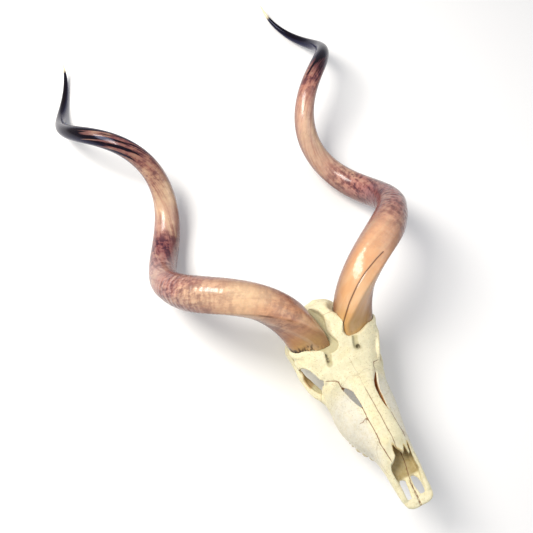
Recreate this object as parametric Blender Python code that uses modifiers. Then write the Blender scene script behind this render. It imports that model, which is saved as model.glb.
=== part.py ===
"""Kudu skull: a greater kudu's cranium without its lower jaw, with both polished horn sheaths on it.

Every shape is drawn in the skull's own frame: x to the animal's left, y back from the tip of the
muzzle, z up from the biting plane of the cheek teeth, all in millimetres. One empty then leans the
whole skull back, nose up, as it rests on a table: on the back of the cranium and on the two horns.
"""
import math

import bmesh
import bpy
import numpy as np
from mathutils import Matrix, Vector

MM = 0.001
GAP = 0.3  # clearance between pieces that touch

# Driving dimensions, mm
HORN_RISE = 868.9  # length of the spiral's axis
HORN_BASE_RADIUS = 37.5
HORN_TURNS = -1.935
HORN_BASE = np.array((54.16, 347.22, 154.83))  # middle of the left horn's rim
COIL_START = 83.13  # radius of the spiral at the rim
COIL_SHRINK = (-76.83, 41.77)  # change of that radius with the share of the rise, and with its square
PHASE = 3.0985  # where on its coil the horn starts, radians
PHASE_BULGE = 0.1356  # how much faster it winds near its base
RISE_BULGE = 0.0853  # how much slower it climbs near its base
BOW = (9.12, 1.64)  # sideways and upward bow of the spiral's axis
AXIS_TURN = 0.2038  # radians that the axis swings out from straight back
AXIS_CLIMB = 0.3228  # radians that it climbs
HORN_ARC = 1125  # length along the curve
HORN_STATIONS = 46
HORN_ROOT = (-0.055, -0.03)  # sections drawn below the rim and then cut off at the seat
HORN_OFFSETS = (0, 14, 32, 60, 90, 120, 150, 180, -150, -120, -90, -60, -32, -14)  # degrees off the keel
KEEL_TURN = math.radians(10)
KEEL_START = math.radians(17)
KEEL_SETTLES = 0.07
SEAT_TILT = 31.0  # degrees that the horn's rim reaches lower in front than square across

BONE_VOXEL = 2.0  # grid on which the lumps of bone are fused
HOLLOW_VOXEL = 2.07  # another grid for what is cut out, so that no two faces lie in one plane
SKIN_VOXEL = 1.6  # grid of the finished bone's skin
SKULL_TRIANGLES = 5700
WALL = 4.5  # thickness of the face's outer bone
PALATE_RISE = 11  # the palate stands this far above the lower margin
NASAL_ROOF_Y = 92  # in front of this the nose is open above
OPEN_ABOVE = 26
MARGIN_Z = 14.0  # the cheek teeth leave the bone at this height

# Cross-sections from the muzzle back: rows of y, top z, half width of the roof, z of its edge,
# greatest half width and its z, half width and z of the lower margin
FACE = (
    (57, 44, 24, 43, 32, 33, 28, 21),
    (66, 51, 25, 50, 32, 36, 28, 20),
    (85, 66, 24, 65, 33, 42, 28, 18),
    (105, 86, 18, 81, 34, 42, 28, 16),
    (120, 93, 20, 87, 37, 40, 31, 14),
    (150, 105, 22, 97, 51, 38, 45, 12),
    (185, 116, 25, 107, 60, 42, 55, 11),
    (215, 126, 30, 117, 67, 48, 58, 11),
    (240, 134, 42, 125, 68, 72, 54, 15),
    (262, 143, 62, 121, 66, 90, 38, 34),
)
CRANIUM = (
    (236, 130, 34, 122, 54, 100, 30, 84),
    (256, 140, 59, 121, 64, 110, 28, 82),
    (270, 148, 71, 127, 74, 116, 26, 76),
    (290, 159, 83, 136, 86, 119, 28, 62),
    (306, 167, 86, 138, 89, 119, 34, 56),
    (318, 171, 72, 146, 75, 118, 38, 55),
    (335, 177, 46, 161, 58, 112, 42, 54),
    (362, 180, 36, 165, 53, 104, 42, 50),
    (384, 176, 30, 160, 49, 98, 38, 47),
    (400, 160, 22, 144, 40, 94, 28, 60),
)

TOOTH_POWER = 3.2  # how square a tooth's outline is: 2 is an ellipse
# Cheek teeth from the front: name, centre x and y, length, width, crown height, lobes, turn in degrees
TEETH = (
    ("premolar_2", 25.5, 127.0, 11.5, 10.0, 11.5, 1, 22),
    ("premolar_3", 31.5, 140.5, 13.0, 12.5, 12.5, 1, 24),
    ("premolar_4", 37.0, 154.5, 13.0, 14.0, 13.0, 1, 18),
    ("molar_1", 40.0, 171.0, 17.0, 15.5, 13.0, 2, 8),
    ("molar_2", 41.2, 190.5, 19.0, 16.5, 13.5, 2, 2),
    ("molar_3", 41.5, 211.5, 20.5, 16.0, 13.7, 2, -1),
)

# Finishes: name, colour, roughness
BONE = ("bone", (0.86, 0.82, 0.66), 0.55)
KERATIN = ("horn", (0.62, 0.32, 0.19), 0.16)
ENAMEL = ("enamel", (0.80, 0.74, 0.56), 0.35)


def clear_scene():
    for thing in list(bpy.data.objects):
        bpy.data.objects.remove(thing)


def collection(name):
    made = bpy.data.collections.new(name)
    bpy.context.scene.collection.children.link(made)
    return made


def material(name, colour, roughness):
    made = bpy.data.materials.new(name)
    made.use_nodes = True
    shader = made.node_tree.nodes["Principled BSDF"]
    shader.inputs["Base Color"].default_value = (*colour, 1.0)
    shader.inputs["Roughness"].default_value = roughness
    shader.inputs["Metallic"].default_value = 0.0
    return made


def add_object(name, bm, home, finish=None):
    """A mesh object from a bmesh whose points are in millimetres."""
    bmesh.ops.scale(bm, vec=(MM, MM, MM), verts=bm.verts)
    mesh = bpy.data.meshes.new(name)
    bm.to_mesh(mesh)
    bm.free()
    made = bpy.data.objects.new(name, mesh)
    home.objects.link(made)
    if finish:
        mesh.materials.append(finish)
    else:
        made.hide_render = True
        made.display_type = "WIRE"
    return made


def ball(bm, centre, radii):
    """An ellipsoid."""
    place = Matrix.Translation(centre) @ Matrix.Diagonal((*radii, 1.0))
    bmesh.ops.create_uvsphere(bm, u_segments=32, v_segments=18, radius=1.0, matrix=place)


def block(bm, centre, size):
    place = Matrix.Translation(centre) @ Matrix.Diagonal((*size, 1.0))
    bmesh.ops.create_cube(bm, size=1.0, matrix=place)


def loft(bm, rings):
    """A closed skin over rings that all have the same number of points, with a cap at each end."""
    rows = [[bm.verts.new(point) for point in ring] for ring in rings]
    count = len(rows[0])
    for row, after in zip(rows, rows[1:]):
        for i in range(count):
            j = (i + 1) % count
            bm.faces.new((row[i], row[j], after[j], after[i]))
    bm.faces.new(list(reversed(rows[0])))
    bm.faces.new(rows[-1])


def smooth_path(points, steps):
    """Points along a Catmull-Rom curve through the given rows of numbers."""
    rows = np.array(points, float)
    padded = np.vstack([2 * rows[0] - rows[1], rows, 2 * rows[-1] - rows[-2]])
    found = []
    for k in range(len(rows) - 1):
        a, b, c, d = padded[k:k + 4]
        for t in np.arange(steps) / steps:
            found.append(0.5 * (2 * b + (c - a) * t + (2 * a - 5 * b + 4 * c - d) * t ** 2
                                + (3 * b - a - 3 * c + d) * t ** 3))
    found.append(rows[-1])
    return np.array(found)


def strut(bm, points, side=1, up=(0, 0, 1)):
    """A bar of bone through rows of x, y, z, half thickness, half height. up aims its height."""
    path = smooth_path(points, 4)
    path[:, 0] *= side
    ahead = np.gradient(path[:, :3], axis=0)
    ahead /= np.linalg.norm(ahead, axis=1)[:, None]
    across = np.cross(ahead, up)
    across /= np.linalg.norm(across, axis=1)[:, None]
    tall = np.cross(across, ahead)
    angle = np.radians(np.arange(0, 360, 30))
    rings = [
        [place[:3] + place[3] * math.cos(a) * wide + place[4] * math.sin(a) * high for a in angle]
        for place, wide, high in zip(path, across, tall)
    ]
    # rounded ends: a smaller ring a little past each end
    ends = []
    for k, way in ((0, -1), (-1, 1)):
        middle = path[k, :3]
        past = middle + way * ahead[k] * 0.8 * path[k, 3:].min()
        ends.append([past + (point - middle) * 0.55 for point in rings[k]])
    loft(bm, [ends[0]] + rings + [ends[1]])


def section_ring(row, inset=0.0):
    """One cross-section, drawn all the way round, drawn in by a wall's thickness."""
    y, top, roof, edge, wide, wide_z, margin, low = row
    fall = top - edge
    half = [
        (0, top), (roof * 0.45, top - 0.1 * fall), (roof * 0.76, top - 0.4 * fall), (roof, edge),
        (roof * 0.2 + wide * 0.8, edge * 0.58 + wide_z * 0.42), (wide, wide_z),
        (wide * 0.4 + margin * 0.6, wide_z * 0.35 + low * 0.65), (margin, low),
        (margin * 0.66, low + 1.5), (margin * 0.42, low + PALATE_RISE * 0.8), (0, low + PALATE_RISE),
    ]
    middle = (top + low) / 2
    narrow = 1 - inset / wide
    flat = 1 - 2 * inset / (top - low)
    half = [(x * narrow, middle + (z - middle) * flat) for x, z in half]
    ring = half + [(-x, z) for x, z in reversed(half[1:-1])]
    return [(x, y, z) for x, z in ring]


def skull_mass(bm):
    """The bone before anything is cut away: every lump and bar overlaps its neighbours."""
    for rows in (FACE, CRANIUM):
        loft(bm, [section_ring(row) for row in smooth_path(rows, 2)])
    ball(bm, (0, 348, 106), (58, 54, 52))  # braincase
    ball(bm, (0, 382, 106), (50, 27, 50))  # back of the braincase
    strut(bm, ((0, 296, 58, 12, 9), (0, 340, 54, 18, 9), (0, 388, 54, 20, 9)))  # base of the braincase
    for side in (-1, 1):
        # bar behind the eye socket
        strut(bm, ((74, 304, 120, 9, 9), (80, 306, 102, 5, 8), (80, 300, 80, 4, 9)), side, up=(0, 1, 0.2))
        # zygomatic arch, from the cheek round to its root beside the braincase
        strut(bm, ((56, 212, 44, 10, 14), (64, 238, 52, 9, 13), (71, 258, 61, 8, 11), (76, 276, 68, 6, 9),
                   (79, 296, 75, 4.5, 8), (80, 318, 82, 4.5, 8), (82, 340, 88, 5, 9), (79, 360, 92, 6, 10),
                   (64, 370, 92, 8, 11), (48, 368, 92, 9, 11)), side)
        # horn pedicle
        strut(bm, ((42, 316, 108, 28, 28), (49, 332, 128, 33, 36), (54, 344, 140, 34, 40)), side,
              up=(0, -1, 0.2))
        ball(bm, (20 * side, 398, 64), (14, 17, 18))  # occipital condyle
        ball(bm, (33 * side, 354, 50), (11, 16, 15))  # ear bulla
        ball(bm, (64 * side, 352, 82), (18, 17, 10))  # jaw joint
        # paroccipital process
        strut(bm, ((44, 380, 84, 8, 12), (45, 385, 58, 4.5, 9), (43, 388, 32, 3.5, 5)), side, up=(0, 1, 0))
        # nuchal crest
        strut(bm, ((0, 398, 158, 9, 10), (21, 395, 152, 9, 10), (39, 388, 134, 9, 9), (49, 378, 108, 8, 9),
                   (52, 368, 86, 8, 8)), side)
        # pterygoid plate
        strut(bm, ((22, 236, 30, 3.5, 14), (21, 262, 38, 3, 18), (20, 296, 50, 3, 14)), side)
        # premaxilla's outer bar, round to the tip of the muzzle
        strut(bm, ((28, 84, 40, 5, 15), (27.5, 64, 34, 5.5, 12), (26.5, 40, 27, 6, 7), (22, 20, 21, 7, 5),
                   (12, 9.5, 19, 8.5, 5)), side)
        # premaxilla's inner bar, beside the midline
        strut(bm, ((7.5, 12, 19, 6.5, 5), (6, 40, 22, 4.8, 3.5), (6, 72, 27, 5, 3.5)), side)


def thin_bones(bm):
    """Bones that stand inside the hollow of the nose or over its mouth."""
    strut(bm, ((0, 74, 29, 2.5, 4), (0, 110, 33, 2.5, 6), (0, 170, 34, 2.5, 7)))  # vomer
    for side in (-1, 1):
        # nasal bone, forked in front
        strut(bm, ((9, 130, 92.5, 9, 2.4), (9.5, 112, 85.6, 10, 2.6), (9, 100, 81, 8, 2.6),
                   (7.5, 92, 78, 3.5, 2.4)), side)
        strut(bm, ((15, 122, 86.5, 5, 2.4), (17, 104, 79.5, 4.5, 2.5), (19, 80, 70, 2.4, 2)), side)


def skull_hollows(bm):
    """What is cut out of the bone."""
    rows = smooth_path(FACE, 2)
    rings = []
    for row in rows:
        if row[0] < NASAL_ROOF_Y:
            row[[1, 3]] += OPEN_ABOVE
        rings.append(section_ring(row, WALL))
    ahead = [(x * 0.75, y - 9, z - 3) for x, y, z in rings[0]]
    rings[-1] = [(x, y - WALL, z) for x, y, z in rings[-1]]
    loft(bm, [ahead] + rings)
    for side in (-1, 1):
        ball(bm, (64 * side, 273, 97), (26, 25, 22))  # eye socket
        ball(bm, (57 * side, 290, 66), (17, 32, 40))  # open below and behind it
        ball(bm, (67 * side, 324, 98), (11, 17, 30))  # temporal fossa
        # slit between nasal, frontal, lacrimal and maxilla
        strut(bm, ((18.5, 170, 106, 1.5, 16), (20.5, 188, 109, 3.2, 16), (24, 207, 112, 5, 16),
                   (29, 220, 115, 4, 16), (33, 228, 117, 1.5, 16)), side)
        ball(bm, (40 * side, 138, 42), (9, 6, 4))  # infraorbital foramen
        strut(bm, ((33, 258, 145, 3, 7), (32, 276, 153, 3.5, 7)), side)  # supraorbital groove
    strut(bm, ((0, 232, 30, 15, 22), (0, 262, 42, 15, 24), (0, 290, 44, 13, 18)))  # rear nostrils
    ball(bm, (0, 404, 84), (15, 26, 15))  # foramen magnum


def horn_frame():
    """The spiral's axis direction and two directions square to it (out to the side, and up)."""
    flat = math.cos(AXIS_CLIMB)
    axis = Vector((math.sin(AXIS_TURN) * flat, math.cos(AXIS_TURN) * flat, math.sin(AXIS_CLIMB)))
    out = axis.cross(Vector((0, 0, 1))).normalized()
    return np.array(axis), np.array(out), np.array(out.cross(axis))


def horn_centre(s):
    """The left horn's centre line: a spiral that shrinks along its axis, bowed a little."""
    axis, out, up = horn_frame()
    coil = COIL_START + COIL_SHRINK[0] * s + COIL_SHRINK[1] * s * s
    phase = PHASE + HORN_TURNS * 2 * math.pi * (s - PHASE_BULGE * s * (1 - s))
    start = COIL_START * (math.cos(PHASE) * out + math.sin(PHASE) * up)
    around = np.outer(coil * np.cos(phase), out) + np.outer(coil * np.sin(phase), up)
    bow = np.outer(4 * s * (1 - s), BOW[0] * out + BOW[1] * up)
    rise = np.outer(HORN_RISE * s * (1 - RISE_BULGE * (1 - s)), axis)
    return HORN_BASE + rise + around - start + bow, around


def horn_directions(s):
    """Along the horn, out from the spiral's axis, and towards the keel."""
    step = 1e-4
    centre, around = horn_centre(s)
    ahead = horn_centre(s + step)[0] - horn_centre(s - step)[0]
    ahead /= np.linalg.norm(ahead, axis=1)[:, None]
    outward = around - (around * ahead).sum(1)[:, None] * ahead
    outward /= np.linalg.norm(outward, axis=1)[:, None]
    return centre, ahead, outward, np.cross(ahead, outward)


def horn_radius(s):
    taper = np.clip(1 - s, 0, None) ** 0.718 * (1 + 0.2231 * s)
    return HORN_BASE_RADIUS * taper + 0.6


def keel_angle(s):
    """Where the keel's ridge lies: it starts nearer the midline and winds round a little."""
    return KEEL_TURN + KEEL_START * math.exp(-s / KEEL_SETTLES)


def horn_section(offset, s):
    """Radius as a share of the mean one, by the angle off the keel: the keel, and a flare at the rim."""
    fade = math.exp(-s / KEEL_SETTLES)
    keel = (0.14 * (1 - s) + 0.24 * fade) * np.exp(-(offset / 0.38) ** 2)
    flare = 0.17 * fade * np.exp(-((offset + 1.6) / 0.55) ** 2)
    back = 0.06 * (1 - s) * np.exp(-((math.pi - np.abs(offset)) / 0.7) ** 2)
    return 0.97 + keel + flare + back


def seat_plane():
    """The horn's rim lies in this plane: point and normal, for the left horn."""
    centre, ahead, _, keel = horn_directions(np.zeros(1))
    lean = math.radians(SEAT_TILT)
    return centre[0], math.cos(lean) * ahead[0] + math.sin(lean) * keel[0]


def horn_body(bm, side, extra=0.0, drop=0.0):
    """One horn sheath, cut flat where it sits. extra widens it all round, drop lowers its seat."""
    s = np.concatenate((HORN_ROOT, np.linspace(0, 1, HORN_STATIONS) ** 0.9))
    centre, ahead, outward, keel = horn_directions(np.clip(s, 0, 1))
    centre += np.clip(s, None, 0)[:, None] * HORN_ARC * ahead
    offset = np.radians(HORN_OFFSETS)
    rings = []
    for k, here in enumerate(np.clip(s, 0, 1)):
        angle = offset + keel_angle(here)
        radius = horn_radius(here) * horn_section(offset, here) + extra
        ring = np.outer(radius * np.cos(angle), keel[k]) + np.outer(radius * np.sin(angle), outward[k])
        ring += centre[k]
        ring[:, 0] *= side
        rings.append(ring)
    loft(bm, rings)
    # every quad split along the same diagonal, so that the horn and its wider seat run parallel
    bmesh.ops.triangulate(bm, faces=bm.faces[:], quad_method="FIXED")
    point, normal = seat_plane()
    flip = np.array((side, 1, 1))
    whole = bm.verts[:] + bm.edges[:] + bm.faces[:]
    bmesh.ops.bisect_plane(bm, geom=whole, dist=1e-4, clear_inner=True,
                           plane_co=Vector((point - normal * drop) * flip), plane_no=Vector(normal * flip))
    rim = [edge for edge in bm.edges if edge.is_boundary]
    bmesh.ops.holes_fill(bm, edges=rim, sides=0)
    bmesh.ops.recalc_face_normals(bm, faces=bm.faces[:])


def boolean(target, cutter, operation="DIFFERENCE"):
    cut = target.modifiers.new(cutter.name, "BOOLEAN")
    cut.operation = operation
    cut.object = cutter
    cut.solver = "EXACT"


def fuse(target, voxel, smoothing):
    merge = target.modifiers.new("fuse", "REMESH")
    merge.mode = "VOXEL"
    merge.voxel_size = voxel * MM
    soften = target.modifiers.new("soften", "SMOOTH")
    soften.factor = 0.5
    soften.iterations = smoothing


def triangle_count(thing):
    mesh = thing.evaluated_get(bpy.context.evaluated_depsgraph_get()).to_mesh()
    mesh.calc_loop_triangles()
    return len(mesh.loop_triangles)


def fused_object(name, shape, home, voxel, smoothing, finish=None):
    """One body from overlapping lumps: drawn by shape, merged on a fine grid, then softened."""
    bm = bmesh.new()
    shape(bm)
    made = add_object(name, bm, home, finish)
    fuse(made, voxel, smoothing)
    return made


def make_skull(parts, cutters, bone):
    skull = fused_object("skull", skull_mass, parts, BONE_VOXEL, 4, bone)
    boolean(skull, fused_object("hollows", skull_hollows, cutters, HOLLOW_VOXEL, 2))
    boolean(skull, fused_object("thin_bones", thin_bones, cutters, HOLLOW_VOXEL, 1), "UNION")
    fuse(skull, SKIN_VOXEL, 1)
    thin = skull.modifiers.new("thin", "DECIMATE")
    thin.ratio = SKULL_TRIANGLES / triangle_count(skull)
    for name, side in (("seat_left", 1), ("seat_right", -1)):
        bm = bmesh.new()
        horn_body(bm, side, GAP, GAP)
        boolean(skull, add_object(name, bm, cutters))
    bm = bmesh.new()
    block(bm, (0, 175, MARGIN_Z - 20), (160, 130, 40))
    boolean(skull, add_object("below_margin", bm, cutters))


def tooth_outline(length, width, lobes):
    """A cheek tooth seen from below: an oblong with a waist between its lobes."""
    points = []
    for degrees in range(0, 360, 30):
        along, across = math.cos(math.radians(degrees)), math.sin(math.radians(degrees))
        reach = (abs(along) ** TOOTH_POWER + abs(across) ** TOOTH_POWER) ** (-1 / TOOTH_POWER)
        waist = 1 - 0.16 * (lobes - 1) * math.exp(-(along * reach / 0.22) ** 2)
        points.append((across * reach * waist * width / 2, along * reach * length / 2))
    return points


def make_tooth(name, side, centre, size, turn, parts, enamel):
    """A worn crown: flush with the bone's margin above, a little narrower and cupped below."""
    length, width, height, lobes = size
    outline = tooth_outline(length, width, lobes)
    top = MARGIN_Z - GAP
    # height, share of the outline, how far outwards it has leaned
    levels = ((top, 0.95, 0), (top - height, 0.98, 1.2), (top - height + 1.8, 0.45, 1.0))
    cos, sin = math.cos(math.radians(turn)), math.sin(math.radians(turn))
    rings = []
    for z, share, out in levels:
        ring = []
        for across, along in outline:
            x, y = across * share + out, along * share
            ring.append((side * (centre[0] + x * cos + y * sin), centre[1] - x * sin + y * cos, z))
        rings.append(ring)
    bm = bmesh.new()
    loft(bm, rings)
    bmesh.ops.recalc_face_normals(bm, faces=bm.faces[:])
    return add_object(name, bm, parts, enamel)


def make_horn(name, side, parts, keratin):
    bm = bmesh.new()
    horn_body(bm, side)
    horn = add_object(name, bm, parts, keratin)
    horn.data.shade_smooth()
    return horn


def world_points(things):
    depsgraph = bpy.context.evaluated_depsgraph_get()
    found = []
    for thing in things:
        mesh = thing.evaluated_get(depsgraph).to_mesh()
        flat = np.empty(len(mesh.vertices) * 3)
        mesh.vertices.foreach_get("co", flat)
        matrix = np.array(thing.matrix_world)
        found.append(flat.reshape(-1, 3) @ matrix[:3, :3].T + matrix[:3, 3])
    return np.vstack(found)


def lean_back(skull_points, horn_points):
    """The angle at which the back of the skull and the low bends of the horns touch one level."""
    low, high = math.radians(5), math.radians(60)
    for _ in range(50):
        lean = (low + high) / 2
        up = np.array((0, -math.sin(lean), math.cos(lean)))
        if (skull_points @ up).min() < (horn_points @ up).min():
            low = lean
        else:
            high = lean
    return lean


def rest(parts, cutters):
    """Leans everything back and centres it over the origin, its lowest points at z = 0."""
    place = bpy.data.objects.new("resting_place", None)
    bpy.context.scene.collection.objects.link(place)
    points = {name: world_points([parts.objects[name]]) for name in ("skull", "horn_left", "horn_right")}
    horns = np.vstack((points["horn_left"], points["horn_right"]))
    lean = lean_back(points["skull"], horns)
    place.rotation_euler = (-lean, 0, 0)
    turned = np.vstack((points["skull"], horns)) @ np.array(Matrix.Rotation(-lean, 3, "X")).T
    middle = (turned.min(axis=0) + turned.max(axis=0)) / 2
    place.location = (-middle[0], -middle[1], -turned[:, 2].min())
    for thing in (*parts.objects, *cutters.objects):
        thing.parent = place
    bpy.context.view_layer.update()


def main():
    clear_scene()
    parts = collection("kudu_skull")
    cutters = collection("cutters")
    bone, keratin, enamel = (material(*finish) for finish in (BONE, KERATIN, ENAMEL))
    make_skull(parts, cutters, bone)
    for side, word in ((1, "left"), (-1, "right")):
        make_horn("horn_" + word, side, parts, keratin)
        for name, x, y, length, width, height, lobes, turn in TEETH:
            make_tooth(f"{word}_{name}", side, (x, y), (length, width, height, lobes), turn, parts, enamel)
    rest(parts, cutters)


main()
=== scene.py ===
import bpy
import numpy as np
from mathutils import Matrix


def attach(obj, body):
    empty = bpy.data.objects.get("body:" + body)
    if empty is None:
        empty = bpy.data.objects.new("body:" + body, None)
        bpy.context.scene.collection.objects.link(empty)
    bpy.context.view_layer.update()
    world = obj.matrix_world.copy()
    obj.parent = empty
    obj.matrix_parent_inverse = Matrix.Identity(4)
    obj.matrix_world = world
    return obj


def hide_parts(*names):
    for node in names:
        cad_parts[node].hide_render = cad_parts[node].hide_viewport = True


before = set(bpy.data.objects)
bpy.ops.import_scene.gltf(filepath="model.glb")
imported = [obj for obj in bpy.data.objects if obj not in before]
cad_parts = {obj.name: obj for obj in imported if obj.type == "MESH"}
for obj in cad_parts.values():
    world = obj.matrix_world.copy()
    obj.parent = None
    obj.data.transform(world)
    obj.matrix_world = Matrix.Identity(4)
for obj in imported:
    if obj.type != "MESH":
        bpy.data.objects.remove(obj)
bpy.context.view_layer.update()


# How it lies. The skull rests nose up on a table, on the back of the braincase and on the low bends
# of both horns. Every shape below is worked out in millimetres in the skull's own frame: x to the
# animal's left, y back from the tip of the muzzle, z up from the biting plane of the cheek teeth.

LEAN = np.radians(24.7395)
RESTING_PLACE = np.array((0.0, -0.61508, 0.13554))


def turned(points, lean=LEAN):
    """Leans directions back by an angle: a turn about x, nose up."""
    x, y, z = np.moveaxis(np.asarray(points, float), -1, 0)
    return np.stack((x, y * np.cos(lean) + z * np.sin(lean), z * np.cos(lean) - y * np.sin(lean)), -1)


def lying(points):
    """Millimetres in the skull's own frame to metres as it lies."""
    return turned(points) * 0.001 + RESTING_PLACE


# The cranium: one grown bone, boiled clean, bleached and left matt. It branches and has holes right
# through, which no single sheet can follow, so its lumps, bars and hollows are joined as distances
# on a grid of points, and the grid is then skinned where the distance is nought.

GRID = 1.35
GRID_AXES = [np.arange(low, high, GRID) for low, high in ((0, 104), (-10, 430), (4, 196))]
EVERYWHERE = np.s_[:, :, :]
MOST_TRIANGLES = 190000
# Thickness of the face's walls, how high the palate arches, and where the teeth leave the jaw
WALL = 3.4
PALATE_RISE = 11
TOOTH_MARGIN_Z = 14.0

# Cross-sections from the muzzle back: rows of y, top z, half width of the roof, z of its edge,
# greatest half width and its z, half width and z of the lower margin
FACE = (
    (57, 44, 24, 43, 32, 33, 28, 21),
    (66, 51, 26, 50, 33, 38, 28, 20),
    (85, 66, 26, 65, 34, 46, 28, 18),
    (105, 86, 22, 80, 35.5, 53, 29, 16),
    (120, 93, 23.5, 86, 39, 52, 32, 14),
    (150, 105, 24.5, 97, 50, 43, 45, 12),
    (185, 116, 26, 107, 59, 44, 55, 11),
    (215, 126, 30, 117, 62, 50, 55, 11),
    (240, 134, 42, 125, 65.5, 76, 49, 15),
    (262, 143, 62, 121, 64, 92, 36, 34),
)
BRAINCASE = (
    (236, 130, 34, 122, 54, 100, 30, 84),
    (256, 140, 58, 121, 61, 110, 28, 82),
    (270, 148, 66, 128, 69, 117, 26, 76),
    (290, 159, 79, 137, 82, 120, 28, 62),
    (306, 167, 85, 139, 88, 120, 34, 56),
    (318, 171, 78, 144, 83, 119, 38, 55),
    (335, 177, 46, 161, 58, 112, 42, 54),
    (362, 180, 36, 165, 53, 104, 42, 50),
    (384, 176, 30, 160, 49, 98, 38, 47),
    (400, 160, 22, 144, 40, 94, 28, 60),
)


def smooth_path(rows, steps):
    """Rows of numbers along a Catmull-Rom curve through the given rows, steps to each stretch."""
    rows = np.array(rows, float)
    padded = np.vstack((2 * rows[0] - rows[1], rows, 2 * rows[-1] - rows[-2]))
    a, b, c, d = (padded[k:k + len(rows) - 1, None] for k in range(4))
    t = (np.arange(steps) / steps)[None, :, None]
    curve = b + ((c - a) * t + (2 * a - 5 * b + 4 * c - d) * t ** 2 + (3 * b - a - 3 * c + d) * t ** 3) / 2
    return np.vstack((curve.reshape(-1, rows.shape[1]), rows[-1]))


def climb(value, low, high):
    """Nought as far as low, one from high on, and even between; it falls where high is below low."""
    return np.clip((value - low) / (high - low), 0, 1)


def bell(value, middle, width):
    """One at the middle, falling away in a bell curve on both sides."""
    return np.exp(-((value - middle) / width) ** 2)


def unit(vectors):
    """Vectors of length one along the given ones."""
    return vectors / np.linalg.norm(vectors, axis=-1, keepdims=True)


def near(low, high):
    """The block of the grid between two corners: its slices, and its x, y and z as open arrays."""
    block = [slice(*np.searchsorted(axis, span)) for axis, span in zip(GRID_AXES, zip(low, high))]
    return tuple(block), np.ix_(*(axis[part] for axis, part in zip(GRID_AXES, block)))


def from_ellipse(scaled, radii):
    """About how far a point is from an ellipsoid's skin, negative inside: k (k - 1) over the slope of k,
    where k is the point's distance from the middle in radii."""
    reach = np.sqrt(sum(q * q for q in scaled))
    slope = np.sqrt(sum((q / r) ** 2 for q, r in zip(scaled, radii)))
    least = np.minimum.reduce([np.min(r) for r in radii])
    return (reach - 1) * (reach + 1e-3) / (slope + 1e-3 / least)


def ball(centre, radii, spread=9):
    """Distances from an ellipsoid."""
    centre, radii = np.array(centre), np.array(radii)
    where, place = near(centre - radii - spread, centre + radii + spread)
    return where, from_ellipse([(q - c) / r for q, c, r in zip(place, centre, radii)], radii)


def bar(rows, up=(0, 0, 1), spread=9):
    """Distances from a bar of oval section through rows of x, y, z, half thickness, half height: for
    each grid point the least over the bar's short straight lengths. up aims the half height."""
    path = smooth_path(rows, 5)
    middle, half = path[:, :3], path[:, 3:]
    ahead = np.gradient(middle, axis=0)
    across = unit(np.cross(ahead, up))
    tall = unit(np.cross(across, ahead))
    widest = half.max() + spread
    where, _ = near(middle.min(0) - widest, middle.max(0) + widest)
    least = np.full([part.stop - part.start for part in where], 99.0)
    for a, b in zip(range(len(path) - 1), range(1, len(path))):
        margin = half[a:b + 1].max() + spread
        ends = middle[[a, b]]
        here, place = near(ends.min(0) - margin, ends.max(0) + margin)
        run = middle[b] - middle[a]
        share = np.clip(sum((q - m) * r for q, m, r in zip(place, middle[a], run)) / (run @ run), 0, 1)
        offset = [q - m - share * r for q, m, r in zip(place, middle[a], run)]
        wide, high = (half[a, k] + share * (half[b, k] - half[a, k]) for k in (0, 1))
        blunt = np.minimum(wide, high)
        aims = [[u + share * (v - u) for u, v in zip(pair[a], pair[b])] for pair in (across, tall)]
        aims.append(unit(run))
        radii = (wide, high, blunt)
        scaled = [sum(o * d for o, d in zip(offset, aim)) / r for aim, r in zip(aims, radii)]
        inner = tuple(slice(h.start - w.start, h.stop - w.start) for h, w in zip(here, where))
        least[inner] = np.minimum(least[inner], from_ellipse(scaled, radii))
    return where, least


def section(row):
    """Half a cross-section, from the top of the midline down the cheek and round to the palate's middle."""
    _, top, roof, edge, wide, wide_z, margin, low = row
    fall = top - edge
    half = [
        (0, top), (roof * 0.45, top - 0.1 * fall), (roof * 0.76, top - 0.4 * fall), (roof, edge),
        (roof * 0.2 + wide * 0.8, edge * 0.58 + wide_z * 0.42), (wide, wide_z),
        (wide * 0.4 + margin * 0.6, wide_z * 0.35 + low * 0.65), (margin, low),
        (margin * 0.66, low + 1.5), (margin * 0.42, low + PALATE_RISE * 0.8), (0, low + PALATE_RISE),
    ]
    mirrored = [(-half[1][0], half[1][1])] + half + [(-half[-2][0], half[-2][1])]
    return smooth_path(mirrored, 4)[4:-4]


def from_outline(x, z, outline):
    """Distances in a plane from an outline of straight stretches: to the nearest stretch, and negative
    where a ray to the side crosses the outline an odd number of times."""
    start, run = np.array(outline[:-1], float), np.diff(np.array(outline, float), axis=0)
    dx, dz = x[..., None] - start[:, 0], z[..., None] - start[:, 1]
    share = np.clip((dx * run[:, 0] + dz * run[:, 1]) / (run ** 2).sum(1), 0, 1)
    far = np.sqrt(((dx - share * run[:, 0]) ** 2 + (dz - share * run[:, 1]) ** 2).min(-1))
    slant = run[:, 0] / np.where(run[:, 1] == 0, 1e-9, run[:, 1])
    crossed = ((dz >= 0) != (dz >= run[:, 1])) & (dx < dz * slant)
    return np.where(crossed.sum(-1) % 2, -far, far)


def prism(low, high, outline):
    """Distances from an upright prism over an outline of x and y, with y and z of its block of the grid."""
    where, (x, y, z) = near(low, high)
    return where, from_outline(x[:, :, 0], y[:, :, 0], outline)[:, :, None] + 0 * z, y, z


def inside_both(one, two, soft):
    """The higher of two distances, rounded over a width of soft where they meet."""
    round_off = np.maximum(soft - np.abs(one - two), 0) / soft
    return np.maximum(one, two) + round_off ** 2 * soft / 4


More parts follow.
